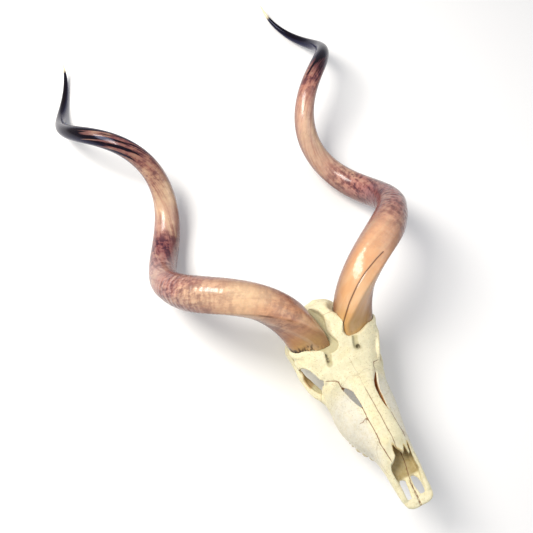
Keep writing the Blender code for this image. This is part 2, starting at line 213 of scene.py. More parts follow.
def loft(rows, soft=5.0, spread=9):
    """Distances from a long form of changing section: in each section's plane from its outline, and
    between sections evenly from one to the next."""
    rows = smooth_path(rows, 4)
    low = (0, rows[0, 0] - spread, rows[:, 7].min() - spread)
    high = (rows[:, 4].max() + spread, rows[-1, 0] + spread, rows[:, 1].max() + spread)
    where, (x, y, z) = near(low, high)
    layers = np.stack([from_outline(x[:, 0], z[0], section(row)) for row in rows], 1)
    at = np.interp(y.ravel(), rows[:, 0], np.arange(len(rows)))
    before = np.minimum(at.astype(int), len(rows) - 2)
    share = (at - before)[None, :, None]
    inner = layers[:, before] * (1 - share) + layers[:, before + 1] * share
    return where, inside_both(inner, np.maximum(rows[0, 0] - y, y - rows[-1, 0]), soft)


def join(field, shape, soft=5.0):
    """Adds a form: the lower of two distances, rounded where they meet."""
    where, distance = shape
    field[where] = -inside_both(-field[where], -distance, soft)


def carve(field, shape, soft=2.5):
    """Takes a hollow away, its edge rounded in the same way."""
    where, distance = shape
    field[where] = inside_both(field[where], -distance, soft)


bone = np.full([len(axis) for axis in GRID_AXES], 99.0)
join(bone, loft(FACE))
join(bone, loft(BRAINCASE), 9)
join(bone, ball((0, 348, 106), (58, 54, 52)), 10)
join(bone, ball((0, 382, 106), (50, 27, 50)), 10)
join(bone, bar(((0, 296, 58, 12, 9), (0, 340, 54, 18, 9), (0, 388, 54, 20, 9))), 8)
# bar behind the eye socket, and the horn's bony root
join(bone, bar(((75, 306, 121, 9, 10), (81, 308, 103, 5.5, 9), (82, 303, 81, 4, 9)), (0, 1, 0.2)), 6)
join(bone, bar(((83, 304, 127, 5, 9), (81, 320, 127, 6, 14), (76, 336, 126, 8, 18)), spread=12), 9)
join(bone, bar(((42, 316, 108, 28, 28), (49, 332, 128, 33, 36), (54, 344, 140, 34, 40)), (0, -1, 0.2)), 12)
# zygomatic arch, from the cheek round to its root beside the braincase, with the gutter that floors the
# eye socket leaning out along it
join(bone, bar((
    (46, 212, 46, 8, 12), (54, 236, 57, 7, 12), (65, 252, 65, 7, 9), (75.5, 268, 69, 6, 9),
    (81, 286, 73, 4.5, 8), (82, 302, 77, 4.5, 8), (81.5, 320, 82, 4.5, 8), (83, 344, 90, 5, 9),
    (81, 362, 95, 7, 12), (67, 376, 97, 9, 12), (50, 374, 94, 9, 11),
)), 7)
join(bone, bar((
    (56, 246, 61, 4, 11), (64, 260, 62, 3.4, 14), (70, 278, 65, 3.2, 16), (74, 297, 71, 3.2, 13),
    (78, 314, 79, 3.2, 8), (81, 330, 85, 4, 6),
), (0.85, 0, 0.52)), 4)
# condyle that the neck turned on, ear bulla, jaw joint and the hook behind it
join(bone, ball((20, 398, 64), (14, 17, 18)), 4)
join(bone, ball((33, 354, 50), (11, 16, 15)), 4)
join(bone, ball((64, 352, 82), (18, 17, 10)), 6)
join(bone, bar(((44, 380, 84, 8, 12), (45, 385, 58, 4.5, 9), (43, 388, 32, 3.5, 5)), (0, 1, 0)), 5)
# crest across the back of the head
join(bone, bar((
    (0, 398, 158, 9, 10), (21, 395, 152, 9, 10), (39, 388, 134, 9, 9), (49, 378, 108, 8, 9),
    (52, 368, 86, 8, 8),
)), 5)
# plate behind the palate
join(bone, bar(((22, 236, 30, 3.5, 14), (21, 262, 38, 3, 18), (20, 296, 50, 3, 14))), 4)
# edge of the eye socket, a little raised
join(bone, bar((
    (59, 252, 118, 3.5, 4), (65.5, 262, 125, 3.5, 4), (75, 280, 131, 3.5, 4), (83, 296, 129, 3.5, 4),
    (83, 308, 112, 3.5, 4),
)), 5)
# premaxilla: the bar up its side, and the plate of the muzzle and the nose's floor. The plate's plan is
# rows of x and y from the midline in front, and its top follows rows of y and z.
MUZZLE_PLAN = (
    (-9, 2.5), (12, 2.5), (20, 4.5), (26.5, 9), (29.5, 16), (30.3, 25), (31, 50), (29, 75), (26, 132),
    (-9, 132), (-9, 2.5),
)
MUZZLE_TOP = ((0, 22), (20, 24.5), (57, 28.5), (75, 34), (100, 37), (130, 36))
HALF_PLATE = 3.5
join(bone, bar((
    (27.5, 92, 46, 4.5, 16), (27, 64, 37, 5.5, 12), (25.5, 42, 29, 6, 7.5), (24, 24, 24, 6, 5),
)), 4)
where, plan, y, z = prism((0, -8, 4), (42, 142, 48), MUZZLE_PLAN)
from_middle = np.abs(z - np.interp(y, *zip(*MUZZLE_TOP)) + HALF_PLATE)
join(bone, (where, inside_both(from_middle - HALF_PLATE, plan, 5)), 3)

# From here the two sides differ. The nasals run on forward as a thin roof, forked at its end. The nose's
# opening is cut straight down through it: rows of x and y from the midline, round the inner prong, the
# notch and the outer prong, then forward along the rim of the side wall. Further: the two holes through
# the muzzle's plate, the slits beside the nasals and between the muzzle's bones, and on the brow a groove
# and the hole that a nerve and vessels came out of.
NOSE_PLANS = {
    "left": (
        (0, 93), (4, 89.5), (8.5, 84), (11, 87.5), (14.9, 94), (17, 87), (19.4, 78), (21, 84), (22.5, 92),
        (24.6, 98), (24.6, 90), (23.5, 78), (24.5, 66), (25, 57), (22, 47), (18.8, 38), (17, 30), (-9, 30),
        (-9, 93), (0, 93),
    ),
    "right": (
        (0, 93), (2, 95.5), (4.6, 102), (7.5, 93), (8.7, 84.5), (13, 80.5), (18.8, 77.5), (21.5, 77),
        (24, 70), (24.3, 64), (22.9, 56), (20.7, 47), (18.8, 38), (17, 30), (-9, 30), (-9, 93), (0, 93),
    ),
}
FLOOR_HOLES = {
    "left": (
        (8.2, 55), (6, 46), (4.9, 38.3), (6.4, 26), (7.5, 15), (10, 12.5), (12.8, 13.8), (17.3, 25.3),
        (19.7, 38.3), (18.4, 49), (13.3, 54.8), (8.2, 55),
    ),
    "right": (
        (4.3, 52.5), (8.2, 34.7), (11.2, 20.7), (14, 13.5), (17, 12.6), (19.6, 16), (20.8, 26), (18.9, 42),
        (16.5, 53), (13.2, 57), (8, 55.5), (4.3, 52.5),
    ),
}
NASAL_SLITS = {
    "left": (
        (38, 229), (31.2, 220.4), (23.9, 211.3), (19.5, 200.6), (18.6, 192.8), (17.8, 180), (18.8, 168),
        (21.5, 155), (22.6, 166), (24.6, 181.7), (26.2, 196.8), (31.2, 211.8), (37, 224), (38, 229),
    ),
    "right": (
        (37.5, 228.5), (34, 215.4), (30.3, 200), (25.5, 186.4), (21.4, 176.5), (20.6, 183), (21, 190),
        (22, 200), (22.5, 209), (29.6, 219.4), (36, 226.5), (37.5, 228.5),
    ),
}
MUZZLE_SLITS = {
    "left": ((0, 34, 26, 0.7, 3), (1, 40, 27, 0.7, 3), (2, 46, 28, 0.7, 3)),
    "right": ((5.2, -4, 18, 1.3, 4.5), (4.2, 4, 23, 1, 4), (1.9, 19, 25, 0.8, 3.4), (0.4, 31, 26, 0.7, 3)),
}
BROW_GROOVES = {
    "left": (
        ((30.5, 293, 161, 4, 6), (27.5, 285, 157, 5, 6), (25, 278, 153, 5, 5.5), (23.5, 275, 151.5, 3.5, 4)),
        ((27.5, 275.5, 146), (3.4, 3.6, 8)),
    ),
    "right": (
        (
            (32.5, 291, 158.5, 4, 6), (34, 281, 152.5, 5.5, 6.5), (37, 273, 147.5, 5, 5.5),
            (38.5, 268, 144.5, 3, 3),
        ),
        ((37.2, 280, 147), (1.7, 10, 6)),
    ),
}
nasal_block, (x, y, z) = near((0, 60, 50), (36, 140, 116))
roof_z = 80 + 0.5 * (y - 100) + 3 * climb(y, 100, 120) - 0.0115 * x ** 2
nasals = np.maximum.reduce(np.broadcast_arrays(z - roof_z, roof_z - 12 - z, x - 22.5, y - 130, 72 - y))
under_roof = z - roof_z + 2.4
# the hollow of the nose: the face's own form, smaller by its wall, which is thicker in front, and above
# the muzzle's floor as far back as that goes
where, distance = loft(FACE[:-1] + ((262 - WALL, *FACE[-1][1:]),))
nose_hollow = np.full(bone.shape, 99.0)
nose_hollow[where] = distance
x, y, z = np.ix_(*GRID_AXES)
under_floor = np.interp(y, *zip(*MUZZLE_TOP)) - z - 40 * climb(y, 130, 150)
nose_hollow = np.maximum(nose_hollow + (WALL + 3.5 * climb(y, 96, 76)), under_floor)
nose_hollow[nasal_block] = np.maximum(nose_hollow[nasal_block], under_roof)
halves, hollows = {}, {}
for word in ("left", "right"):
    halves[word], hollows[word] = bone.copy(), nose_hollow.copy()
    join(halves[word], (nasal_block, nasals), 3)
    opening_block, opening, y, z = prism((0, 20, 4), (40, 112, 130), NOSE_PLANS[word])
    opening = np.maximum(opening, np.interp(y, *zip(*MUZZLE_TOP)) - z)
    join(hollows[word], (opening_block, opening), 0.5)
    carve(halves[word], (EVERYWHERE, hollows[word]), 1.2)
    carve(halves[word], prism((0, 20, 4), (40, 112, 130), FLOOR_HOLES[word])[:2], 3)
# eye socket, and the way down from it into the temporal fossa, inside the arch
sockets = np.full(bone.shape, 99.0)
join(sockets, ball((61, 276, 98), (25, 24, 22)), 3)
join(sockets, bar((
    (43, 268, 62, 8, 30), (48.5, 284, 66, 9.5, 36), (55, 298, 72, 10, 40), (62, 312, 82, 11, 40),
    (66, 328, 90, 10, 36), (66, 342, 98, 7, 24),
)), 4)
# On the right the brow's lower edge is cut back on a slant: rows of x and y at one height, which shift
# towards the midline and back with each millimetre down
BROW_TRIM = (
    (92, 293), (84, 293.5), (81.2, 292.2), (73.9, 281.8), (69.8, 269.4), (66.9, 255.2), (62, 250),
    (66, 240), (104, 240), (104, 293), (92, 293),
)
TRIM_Z = 128
TRIM_SHIFT = (0.28, -0.6)
for word, half in halves.items():
    carve(half, (EVERYWHERE, sockets), 2.5)
    # openings for nerves and blood vessels, rear nostrils, and the hole for the spinal cord
    carve(half, ball((31, 112, 38), (6, 5, 2.5)), 2)
    carve(half, bar(((0, 232, 30, 15, 22), (0, 262, 42, 15, 24), (0, 290, 44, 13, 18))), 3)
    carve(half, ball((0, 404, 84), (15, 26, 15)), 3)
    # vomer inside the nose, and on the left the curled bone that shows through the slit
    join(half, bar(((0, 126, 36, 1.6, 3), (0, 140, 38, 2, 4), (0, 176, 34, 2.5, 7))), 2)
    if word == "left":
        join(half, bar((
            (24.5, 154, 88, 3, 8), (27, 182, 96, 3, 9), (29, 197, 99, 3, 9), (34, 212, 104, 3, 9),
            (40, 226, 108, 3, 9),
        )), 1)
    # the teeth leave the upper jaw at one height
    where, (x, y, z) = near((0, 104, 0), (82, 248, 40))
    carve(half, (where, z - TOOTH_MARGIN_Z + 0 * x + 0 * y), 1)
    carve(half, prism((10, 145, 84), (46, 236, 136), NASAL_SLITS[word])[:2], 1.2)
    # the slit between the two bones of the muzzle, which wanders across the middle
    carve(half, bar(MUZZLE_SLITS[word], (0, 0, 1), 5), 0.8)
    groove, foramen = BROW_GROOVES[word]
    carve(half, bar(groove), 3)
    carve(half, ball(*foramen), 1)
where, (x, y, z) = near((44, 232, 88), (104, 320, 150))
up = z - TRIM_Z
trim = from_outline(x - TRIM_SHIFT[0] * up + 0 * y, y - TRIM_SHIFT[1] * up + 0 * x, BROW_TRIM)
carve(halves["right"], (where, np.maximum(trim, 92 - z)), 3)

# Each horn sits on a flat seat, which takes the horn's own shape, so its spiral is set out here: a
# coil that shrinks along a bowed axis, the left horn's, with s running from 0 at the rim to 1 at the tip
HORN_RISE, RISE_EASE = 868.9, 0.0853
HORN_ARC = 1125
HORN_BASE_RADIUS = 37.5
HORN_BASE = np.array((54.16, 347.22, 154.83))
COIL_RADIUS = (83.13, -76.83, 41.77)
COIL_PHASE, COIL_TURNS, COIL_EASE = 3.0985, -1.935, 0.1356
AXIS_TURN, AXIS_CLIMB = 0.2038, 0.3228
AXIS_BOW = (9.12, 1.64)
KEEL_SETTLES = 0.07
SEAT_TILT = np.radians(31)
SEAT_GAP = 0.3


def horn_centre(s):
    """The centre line and the direction out from the coil's axis: the axis's rise plus the coil's radius
    turned to its phase, plus a bow that is greatest half way."""
    flat = np.cos(AXIS_CLIMB)
    axis = np.array((np.sin(AXIS_TURN) * flat, np.cos(AXIS_TURN) * flat, np.sin(AXIS_CLIMB)))
    out = unit(np.cross(axis, (0, 0, 1)))
    up = np.cross(out, axis)
    s = np.asarray(s)[..., None]
    coil = COIL_RADIUS[0] + COIL_RADIUS[1] * s + COIL_RADIUS[2] * s * s
    phase = COIL_PHASE + COIL_TURNS * 2 * np.pi * (s - COIL_EASE * s * (1 - s))
    around = coil * (np.cos(phase) * out + np.sin(phase) * up)
    start = COIL_RADIUS[0] * (np.cos(COIL_PHASE) * out + np.sin(COIL_PHASE) * up)
    bow = 4 * s * (1 - s) * (AXIS_BOW[0] * out + AXIS_BOW[1] * up)
    rise = HORN_RISE * s * (1 - RISE_EASE * (1 - s)) * axis
    return HORN_BASE + rise + around - start + bow, around


def horn_directions(s):
    """The centre, and unit directions along the horn, outward from the coil, and towards the keel. Below
    the rim the centre line runs on straight."""
    on_horn = np.clip(s, 0, 1)
    centre, around = horn_centre(on_horn)
    ahead = unit(horn_centre(on_horn + 1e-4)[0] - horn_centre(on_horn - 1e-4)[0])
    outward = unit(around - (around * ahead).sum(-1, keepdims=True) * ahead)
    centre = centre + np.clip(s, None, 0)[..., None] * HORN_ARC * ahead
    return centre, ahead, outward, np.cross(ahead, outward)


def keel_angle(s):
    """Where the keel's ridge lies: it starts nearer the midline and winds round a little."""
    return np.radians(10) + np.radians(17) * np.exp(-np.clip(s, 0, 1) / KEEL_SETTLES)


def horn_radius(offset, s):
    """Radius by the angle off the keel: the taper times one, plus a peak for the keel's ridge, a bell for
    the rim's flare and a low one for the back, less two shallow ones that flatten the ridge's flanks."""
    s = np.clip(s, 0, 1)
    taper = HORN_BASE_RADIUS * (1 - s) ** 0.718 * (1 + 0.2231 * s) + 0.6
    fade = np.exp(-s / KEEL_SETTLES)
    keel = (0.17 * (1 - s) + 0.22 * fade) * np.exp((0.08 - np.sqrt(offset ** 2 + 0.0064)) / 0.36)
    flat = 0.05 * (1 - s) * bell(np.abs(offset), 0.95, 0.4)
    flare = 0.17 * fade * bell(offset, -1.6, 0.55)
    back = 0.06 * (1 - s) * bell(np.abs(offset), np.pi, 0.7)
    return taper * (0.945 + keel + flare + back - flat)


seat_point, seat_ahead, _, seat_keel = horn_directions(np.array(0.0))
seat_normal = np.cos(SEAT_TILT) * seat_ahead + np.sin(SEAT_TILT) * seat_keel

# Distance from the horn's skin, and the angle off its keel, at the grid's points round the seat
SEAT_BLOCK = (0, 270, 100), (104, 430, 196)
where, place = near(*SEAT_BLOCK)
grid_points = np.stack(np.broadcast_arrays(*place), -1)
stations = np.linspace(-0.05, 0.1, 31)
centres, aheads, outwards, keels = horn_directions(stations)
distance = np.full(grid_points.shape[:3], 99.0)
bearing = np.zeros_like(distance)
nearest = np.full(grid_points.shape[:3], 1e9)
for s, centre, ahead, outward, keel in zip(stations, centres, aheads, outwards, keels):
    offset = grid_points - centre
    along, sideways, keelwards = offset @ ahead, offset @ outward, offset @ keel
    angle = (np.arctan2(sideways, keelwards) - keel_angle(s) + np.pi) % (2 * np.pi) - np.pi
    closer = np.abs(along) < nearest
    nearest = np.where(closer, np.abs(along), nearest)
    distance = np.where(closer, np.hypot(sideways, keelwards) - horn_radius(angle, s) - SEAT_GAP, distance)
    bearing = np.where(closer, angle, bearing)
above_seat = (grid_points - seat_point) @ seat_normal
# How far the bone's lip stands above the seat, by the angle off the keel in degrees: low and even in
# front, and on the left a high crest against the horn's inner face
SEAT_LIPS = {
    "left": (
        (-180, 0), (-110, 0), (-86, 4.6), (-72, 6.5), (-52, 4.6), (-36, 2.4), (-18, 1.8), (0, 3.4),
        (8, 5), (11, 22), (25, 20), (46, 14.6), (73, 2), (100, 0), (180, 0),
    ),
    "right": (
        (-180, 0), (-110, 0), (-86, 4.6), (-72, 7), (-52, 4.4), (-36, 2.4), (-18, 1.8), (0, 2.8),
        (12, 1.5), (30, 0), (180, 0),
    ),
}
# On the right a trough runs round the horn's inner side as far as the crest; its outer edge in plan
TROUGH = (
    (40, 400), (18, 384), (8, 366), (4.5, 352), (9.5, 333), (11, 323), (8.2, 307), (4.5, 296), (7, 289),
    (13, 284), (22, 282.5), (30, 285), (37, 290), (44, 296), (60, 330), (60, 400), (40, 400),
)
trough = 0.8 * prism(*SEAT_BLOCK, TROUGH)[1]
trough = np.maximum(trough, 1.2 - above_seat + 0.12 * np.maximum(distance, 0))
beside = np.maximum(distance - 1.5, 0)
for word, half in halves.items():
    lip = np.interp(np.degrees(bearing), *zip(*SEAT_LIPS[word]))
    collar = np.maximum(0.8 * (above_seat - lip + 0.8 * beside), distance - 5 - 0.5 * lip)
    join(half, (where, np.maximum(collar, -8 - above_seat + 30 * (lip < 0.5))), 3)
    carve(half, (where, 0.8 * (lip + 1.2 + 0.9 * beside - above_seat)), 3)
    if word == "right":
        carve(half, (where, trough), 2.5)
    carve(half, (where, np.maximum(distance, -above_seat - SEAT_GAP)), 0.8)


def skinned(field, corner, step):
    """Points and four-cornered faces of the sheet where the field is zero: a point in every grid cell that
    the sheet crosses, at the mean of its crossings of the cell's edges, and a face round every such edge."""
    shape = np.array(field.shape)
    inside = field < 0
    owners, spots, faces = [], [], []
    for axis in range(3):
        along = np.eye(3, dtype=int)[axis]
        first = tuple(slice(0, n - a) for n, a in zip(shape, along))
        second = tuple(slice(a, n) for n, a in zip(shape, along))
        edge = np.argwhere(inside[first] != inside[second])
        one, two = field[tuple(edge.T)], field[tuple((edge + along).T)]
        spot = edge + along * (one / (one - two))[:, None]
        u, v = np.eye(3, dtype=int)[[(axis + 1) % 3, (axis + 2) % 3]]
        cells = [np.ravel_multi_index(tuple((edge + move).T), shape) for move in (-u - v, -v, 0 * u, -u)]
        cells = np.stack(cells, 1)
        owners.append(cells.ravel())
        spots.append(np.repeat(spot, 4, axis=0))
        faces.append(np.where(inside[tuple(edge.T)][:, None], cells, cells[:, ::-1]))
    used, slot = np.unique(np.concatenate(owners), return_inverse=True)
    spots = np.concatenate(spots)
    count = np.bincount(slot)
    points = np.stack([np.bincount(slot, spots[:, k]) / count for k in range(3)], 1)
    return corner + step * points, np.searchsorted(used, np.concatenate(faces))


def blended(corners, base, share):
    """Numbers inside the cells of a lattice: the values at each cell's eight corners by their shares."""
    total = 0
    for corner in np.ndindex(2, 2, 2):
        weight = np.prod(np.where(corner, share, 1 - share), axis=-1)
        total = total + weight * corners(tuple(np.moveaxis(base + corner, -1, 0)))
    return total


def swelling(points, size, seed):
    """Smooth random numbers between -1 and 1 in lumps of about that size: a lattice of random numbers,
    blended between its corners by s-curves."""
    lattice = np.pad(np.random.default_rng(seed).uniform(-1, 1, (32, 32, 32)), (0, 1), "wrap")
    at = points / size + 100
    base = np.floor(at).astype(int)
    share = at - base
    return blended(lambda corner: lattice[corner], base % 32, share * share * (3 - 2 * share))


def linked(name, data):
    """A new object, in the scene."""
    made = bpy.data.objects.new(name, data)
    bpy.context.scene.collection.objects.link(made)
    return made


def new_piece(name, points, quads, triangles=()):
    """A smooth mesh object from points in the skull's own frame and arrays of corners, which are turned
    round where they would enclose a negative volume, so that the faces point outwards."""
    kinds = [np.asarray(kind, np.int32) for kind in (quads, triangles) if len(kind)]
    volume = 0
    for kind in kinds:
        for k in range(1, kind.shape[1] - 1):
            a, b, c = (points[kind[:, j]] for j in (0, k, k + 1))
            volume += (a * np.cross(b, c)).sum()
    if volume < 0:
        kinds = [kind[:, ::-1] for kind in kinds]
    mesh = bpy.data.meshes.new(name)
    mesh.vertices.add(len(points))
    mesh.vertices.foreach_set("co", lying(points).astype(np.float32).ravel())
    mesh.loops.add(sum(kind.size for kind in kinds))
    mesh.loops.foreach_set("vertex_index", np.concatenate([kind.ravel() for kind in kinds]))
    sizes = np.concatenate([np.full(len(kind), kind.shape[1], np.int32) for kind in kinds])
    mesh.polygons.add(len(sizes))
    mesh.polygons.foreach_set("loop_start", np.concatenate(([0], np.cumsum(sizes)[:-1])).astype(np.int32))
    mesh.update(calc_edges=True)
    mesh.validate()
    mesh.shade_smooth()
    return linked(name, mesh)


def write_attribute(mesh, name, kind, values):
    """Stores numbers or vectors at a mesh's vertices for its material to read."""
    made = mesh.attributes.new(name, kind, "POINT")
    made.data.foreach_set("value" if kind == "FLOAT" else "vector", np.asarray(values, np.float32).ravel())


# Middle and half sizes of the block that holds the nose's floor, which is even but bears a seam
NOSE_FLOOR, NOSE_FLOOR_HALF = (9, 80, 32), (14, 34, 7)
whole = np.concatenate((halves["right"][:0:-1], halves["left"]))
first_corner = np.array([-GRID * (bone.shape[0] - 1), GRID_AXES[1][0], GRID_AXES[2][0]])
points, quads = skinned(whole, first_corner, GRID)
draft = new_piece("cranium_draft", points, quads)
triangles = 2 * len(quads)
if triangles > MOST_TRIANGLES:
    thinned = draft.modifiers.new("thinned", "DECIMATE")
    thinned.ratio = MOST_TRIANGLES / triangles
    # only the points outside that block are thinned
    outside = (np.abs(points - NOSE_FLOOR) > NOSE_FLOOR_HALF).any(1)
    draft.vertex_groups.new(name="free").add(np.flatnonzero(outside).tolist(), 1.0, "REPLACE")
    thinned.vertex_group = "free"
mesh = bpy.data.meshes.new_from_object(draft.evaluated_get(bpy.context.evaluated_depsgraph_get()))
bpy.data.objects.remove(draft)
mesh.name = "cranium"
cranium = linked("cranium", mesh)
mesh.shade_smooth()
count = len(mesh.vertices)
flat = np.empty(count * 3, np.float32)
mesh.vertices.foreach_get("co", flat)
placed = flat.reshape(-1, 3).astype(float)
mesh.vertex_normals.foreach_get("vector", flat)
normals = flat.reshape(-1, 3).astype(float)
own = turned((placed - RESTING_PLACE) * 1000, -LEAN)
own_normals = turned(normals, -LEAN)


def seam_gaps(rows):
    """How far each point of the skin is from a line that runs on the skin, measured along the skin, with
    a sign for the side it is on: the offset from the line's nearest point, less its share along the
    skin's normal."""
    gap = np.full(count, 99.0)
    line = smooth_path(rows, 4)
    for a, b in zip(line, line[1:]):
        run = b - a
        share = np.clip((wandered - a) @ run / (run @ run), 0, 1)
        offset = wandered - a - share[:, None] * run
        lift = (offset * own_normals).sum(1)
        along = np.sqrt(np.maximum((offset * offset).sum(1) - lift ** 2, 0))
        along = np.where(np.abs(lift) < 9, along, 99.0)
        side = np.sign((np.cross(run, offset) * own_normals).sum(1))
        gap = np.where(along < np.abs(gap), np.where(side < 0, -along, along), gap)
    return gap


# Seams where the young bones grew together, and two cracks: how dark, what x is multiplied by, which
# makes two seams of one that both sides have alike, and rows of x, y, z
SEAMS = (
    (0.8, (1,), ((-0.5, 93, 76), (0, 104, 84), (0, 129, 96), (0, 167, 110), (0, 205, 122))),
    (0.2, (1,), ((0, 205, 122), (0, 232, 132), (0, 262, 145))),
    (1.0, (1,), ((-19.5, 81, 67), (-21, 95, 74), (-21.7, 108.6, 79), (-21, 124, 88), (-21.1, 140.6, 94))),
    (1.0, (1,), ((-21.1, 140.6, 94), (-21.7, 155.2, 99), (-21.4, 168, 104), (-21.4, 177, 107))),
    (1.0, (1,), ((25.5, 106, 77), (25.5, 117, 82), (23.5, 132, 90), (23.2, 152, 97))),
    (1.0, (1,), (
        (-34, 215.4, 114), (-37.5, 228, 119.5), (-39, 236.7, 125.6), (-44, 242, 125), (-55, 250, 121.6),
    )),
    (0.9, (1,), ((37.5, 228, 120), (38.6, 237, 126), (41, 242, 127), (46, 244, 124), (53, 246, 120))),
    (0.15, (-1, 1), (
        (39, 237, 124), (50, 234, 117), (56, 232, 104), (58, 226, 88), (58, 222, 74), (58, 228, 60),
    )),
    (0.12, (-1, 1), ((58, 226, 88), (52, 205, 84), (46, 190, 92), (36, 184, 101), (27, 182, 105))),
    (0.18, (-1, 1), ((31, 229, 119), (20, 234, 131), (9, 232, 132), (0, 228, 131))),
    (0.25, (-1, 1), ((28, 66, 45), (30, 84, 50), (30, 104, 62), (24, 118, 80))),
    (0.5, (-1, 1), ((64, 256, 74), (66, 250, 66), (62, 240, 56), (56, 226, 46))),
    (0.4, (-1, 1), ((80, 322, 84), (84, 318, 82), (86, 312, 78))),
    (0.4, (-1, 1), ((0, 352, 180), (16, 352, 178), (34, 350, 168), (52, 352, 150))),
    (0.4, (-1, 1), ((54, 360, 150), (56, 356, 130), (57, 340, 112), (54, 322, 104))),
    (1.0, (1,), (
        (-5.2, -3, 19), (-4.4, 3, 22), (-3, 12, 23.5), (-1.6, 21, 24.5), (0, 33, 25.5), (1.8, 45, 27.5),
    )),
    (1.0, (1,), ((2.2, 46.5, 28), (6.4, 58.5, 28), (7.7, 64.8, 30.1), (9.4, 72.5, 33.1))),
    (1.0, (1,), (
        (9.4, 72.5, 33.1), (11.6, 81.2, 34.4), (13.4, 89.2, 35), (14.8, 96.4, 36.2), (16.4, 106, 36.2),
    )),
    (0.9, (1,), ((-33, 159, 90), (-30, 158, 94), (-27, 159.5, 97), (-23.5, 158.5, 99))),
    (0.4, (-1, 1), ((0, 110, 26), (0, 150, 25), (0, 190, 24), (0, 226, 25))),
    (0.3, (-1, 1), ((0, 196, 24), (14, 198, 22), (28, 196, 17))),
)
# the seams stray from their rows by up to a millimetre
wander = np.stack([swelling(own, 6, seed) + 0.6 * swelling(own, 2.6, seed + 3) for seed in (1, 2, 3)], 1)
wandered = own + wander * 0.6
seam = np.full(count, 99.0)
seam_strength = np.zeros(count)
for strength, sides, line in SEAMS:
    for side in sides:
        gap = seam_gaps(np.array(line) * (side, 1, 1))
        closer = np.abs(gap) < np.abs(seam)
        seam = np.where(closer, gap, seam)
        seam_strength = np.where(closer, strength, seam_strength)
seam_mark = bell(seam, 0, 0.9) * seam_strength

# Small openings, and the nicks at the front of the brow, which painted shade shows as dark dots
PITS = (
    ((27.5, 275.5, 144), 5.2), ((-37, 285, 147), 2.8), ((-37.2, 280, 144), 2.8), ((-37.4, 275, 143), 2.6),
    ((-57, 256.6, 123), 2.2), ((57, 256.6, 123), 2.2), ((22, 296, 163), 1.0), ((-19, 292, 162), 0.9),
    ((-2, 236, 133), 1.0), ((6, 226, 129), 1.1), ((2, 231, 131), 0.8), ((-7, 240, 135), 0.8),
    ((10, 238, 133), 0.8),
)
pit_mark = np.zeros(count)
for middle, size in PITS:
    pit_mark = np.maximum(pit_mark, np.exp(-((own - middle) ** 2).sum(1) / size ** 2))

# The skin swells and sinks by up to a millimetre in three sizes of lumps, and sinks at seams and pits
relief = 0.55 * swelling(own, 26, 11) + 0.3 * swelling(own, 9, 12) + 0.12 * swelling(own, 3.5, 13)
relief -= 0.7 * seam_mark + 1.4 * pit_mark
points = own + own_normals * relief[:, None]
mesh.vertices.foreach_set("co", lying(points).astype(np.float32).ravel())
mesh.update()

# The nose's inner surfaces keep a brown film, partly stain and partly painted shade: they are where the
# hollows' own distance is nought, but not far forward and not up the muzzle's side walls
x, y, z = own.T
left_side = x > 0
folded = np.column_stack((np.abs(x), y, z))
index = (folded - [axis[0] for axis in GRID_AXES]) / GRID
base = np.clip(index.astype(int), 0, np.array(bone.shape) - 2)
in_nose_film_and_shade = blended(
    lambda at: np.where(left_side, hollows["left"][at], hollows["right"][at]), base, index - base,
)
bare = np.maximum(climb(z, 41, 47) * climb(y, 92, 82), climb(y, 58, 54))
# What faces the middle of the eye socket is tan, partly stain and partly the brow's painted shadow, and on
# the right only its rear part, behind that painted shadow's edge
inward = np.array((61, 280, 99)) - folded
reach = np.linalg.norm(inward, axis=1)
facing = (inward * own_normals * np.where(left_side[:, None], 1, (-1, 1, 1))).sum(1) / reach
socket_stain_and_shadow = climb(facing, 0.2, 0.45) * climb(reach, 50, 44)
rear = climb(y + 0.9 * (folded[:, 0] - 62), 287, 289.5)
# Painted shade lies in the brow grooves, and the right horn's painted shadow in the trough beside it
painted_groove_shade = np.zeros(count)
for here, word in ((left_side, "left"), (x < 0, "right")):
    line = smooth_path(BROW_GROOVES[word][0], 6)[:, :3]
    away = np.linalg.norm((folded[:, None] - line) / (1, 1, 1.4), axis=2).min(1)
    painted_groove_shade = np.maximum(painted_groove_shade, here * climb(away, 7.5, 4.5))
plan = from_outline(folded[:, 0], y, TROUGH)
sunk = (folded - seat_point) @ seat_normal
painted_trough_shadow = (x < 0) * (z > 140) * climb(plan, 0.5, -0.5) * climb(sunk, 16, 10)
for name, kind, values in (
    ("own", "FLOAT_VECTOR", own),
    ("seam", "FLOAT", np.clip(seam, -6, 6)),
    ("seam_strength", "FLOAT", np.where(np.abs(seam) < 6, seam_strength, 0)),
    ("pit", "FLOAT", pit_mark),
    ("in_nose_film_and_shade", "FLOAT", climb(in_nose_film_and_shade, 2.2, 1.0) * (1 - bare)),
    ("socket_stain_and_shadow", "FLOAT", socket_stain_and_shadow * np.where(left_side, 1, rear)),
    ("painted_groove_shade", "FLOAT", np.maximum(painted_groove_shade, painted_trough_shadow)),
    ("cheek", "FLOAT", climb(folded[:, 0], 20, 30) * climb(y, 232, 208) * climb(y, 70, 110)),
):
    write_attribute(mesh, name, kind, values)


def linear(colour):
    """An sRGB hex colour as linear light, with alpha 1."""
    srgb = np.array([int(colour[k:k + 2], 16) for k in (1, 3, 5)]) / 255
    return (*np.where(srgb <= 0.04045, srgb / 12.92, ((srgb + 0.055) / 1.055) ** 2.4), 1.0)


def set_inputs(tree, made, inputs):
    """Sets a node's inputs, given by name or number or in their order: each from a value, from a colour,
    or from the socket that it is linked to."""
    pairs = inputs.items() if isinstance(inputs, dict) else enumerate(inputs)
    for name, value in pairs:
        if isinstance(value, bpy.types.NodeSocket):
            tree.links.new(value, made.inputs[name])
        else:
            made.inputs[name].default_value = linear(value) if isinstance(value, str) else value


